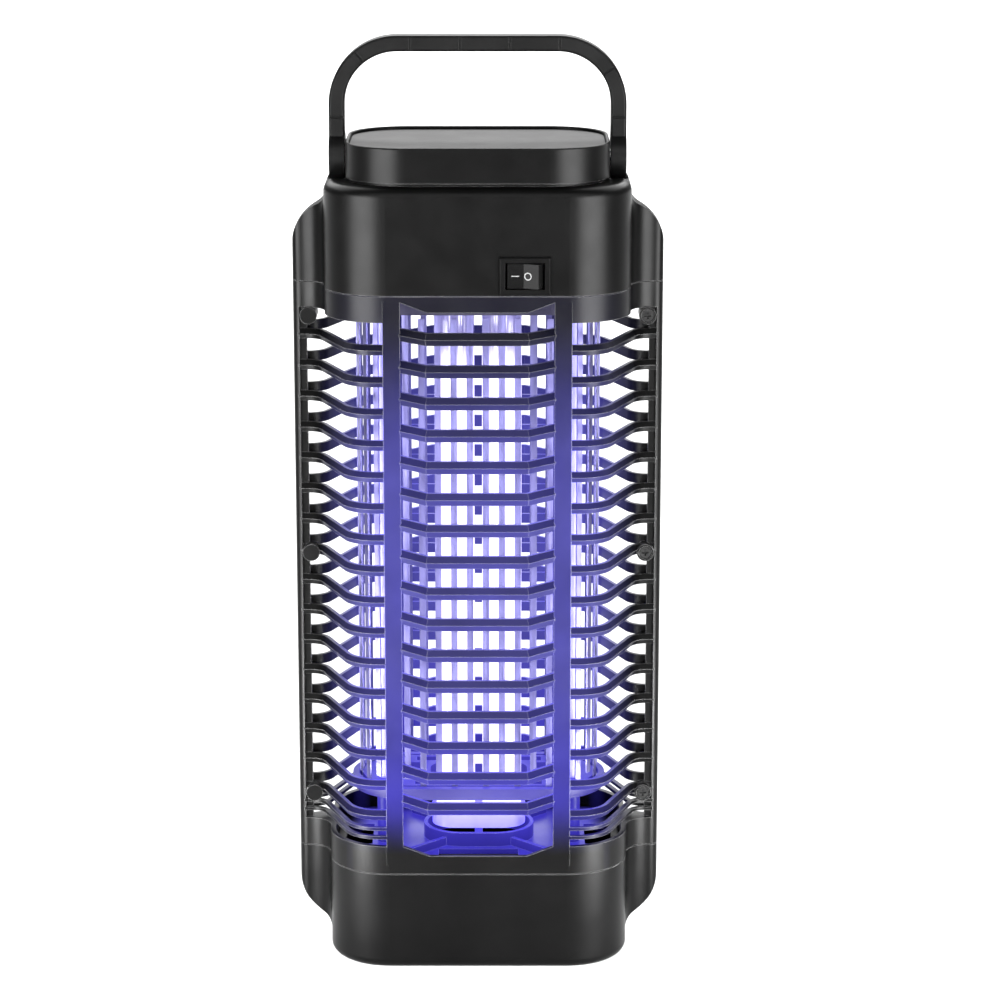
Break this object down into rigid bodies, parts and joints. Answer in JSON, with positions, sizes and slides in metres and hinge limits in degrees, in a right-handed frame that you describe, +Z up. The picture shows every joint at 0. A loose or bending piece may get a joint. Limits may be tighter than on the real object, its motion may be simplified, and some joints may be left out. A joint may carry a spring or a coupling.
{
  "type": "electric bug zapper",
  "caption": "Upright black bug zapper: twin ultraviolet lamp and steel grid behind a louvred cage, fold-down bail handle, rocker switch and pull-off catch tray.",
  "frame": {"origin": "centre of the overall footprint on the standing surface", "axes": "+Z up, +X to the right seen from the switch side, which faces -Y"},
  "size_m": [0.154, 0.106, 0.3893],
  "materials": {
    "shell_black": "fine satin moulded black plastic",
    "cage_black": "satin moulded black plastic",
    "handle_black": "satin black plastic strap",
    "inlay_grey": "flat mid-grey panel",
    "switch_black": "glossy black nylon",
    "mark_white": "white pad print",
    "grid_steel": "bright stamped steel strip",
    "lamp_glass": "phosphor-coated ultraviolet lamp glass, lit",
    "lamp_cap_white": "white lamp base plastic",
    "insulator_white": "light heat-resistant plastic",
    "plate_grey": "grey heat-resistant plastic",
    "pillar_clear": "translucent insulating plastic",
    "pin_brass": "turned brass contact",
    "screw_black": "black finished steel screw",
    "screw_zinc": "zinc plated steel screw",
    "pin_steel": "plain steel pin",
    "rubber_black": "soft black grommet",
    "board_green": "glass-epoxy circuit board",
    "ferrite": "dull ferrite",
    "winding_yellow": "polyester winding tape",
    "film_red": "dipped film capacitor",
    "diode_black": "moulded diode case",
    "fuse_glass": "glass tube fuse",
    "coil_copper": "enamelled copper winding",
    "can_aluminium": "sleeved aluminium can",
    "lead_red": "red lead insulation",
    "lead_blue": "blue lead insulation",
    "terminal_white": "white nylon terminal block"
  },
  "bodies": {
    "lantern": {"lower_frame": "cage_black", "grille_front": "cage_black", "grille_rear": "cage_black", "grille_screws_front": "screw_black", "grille_screws_rear": "screw_black", "upper_housing": "shell_black", "top_cap": "shell_black", "cap_inlay": "inlay_grey", "handle_pins": "pin_steel", "switch_body": "switch_black", "switch_tabs": "pin_brass", "switch_leads": "lead_red", "inlet_grommet": "rubber_black", "terminal_block": "terminal_white", "mains_leads": "lead_blue", "chassis_plate": "insulator_white", "lower_grid_plate": "plate_grey", "upper_grid_plate": "plate_grey", "grid_comb_lower": "grid_steel", "grid_comb_upper": "grid_steel", "grid_pillars": "pillar_clear", "lamp_tube": "lamp_glass", "lamp_base": "lamp_cap_white", "lamp_pins": "pin_brass", "lamp_socket": "lamp_cap_white", "lamp_clip": "pillar_clear", "driver_board": "board_green", "transformer_core": "ferrite", "transformer_winding": "winding_yellow", "multiplier_capacitors": "film_red", "multiplier_diodes": "diode_black", "fuse": "fuse_glass", "ballast_coil": "coil_copper", "smoothing_capacitor": "can_aluminium", "hv_leads": "lead_red", "cap_screws": "screw_zinc", "chassis_screws": "screw_zinc", "board_screws": "screw_zinc", "socket_screws": "screw_zinc", "pillar_screws_top": "screw_zinc", "pillar_screws_bottom": "screw_zinc"},
    "handle_bail": {"handle": "handle_black"},
    "rocker": {"switch_rocker": "switch_black", "rocker_marks": "mark_white"},
    "tray": {"collection_tray": "shell_black"}
  },
  "joints": [
    {"name": "handle_fold", "type": "hinge", "parent": "lantern", "child": "handle_bail", "pos_m": [0, 0, 0.34], "axis": [1, 0, 0], "range_deg": [-88, 88]},
    {"name": "switch_rock", "type": "hinge", "parent": "lantern", "child": "rocker", "pos_m": [0.01925, -0.0396, 0.2965], "axis": [0, 0, 1], "range_deg": [0, 22]},
    {"name": "tray_pull", "type": "slide", "parent": "lantern", "child": "tray", "axis": [0, 0, -1], "range_m": [0, 0.06]}
  ]
}
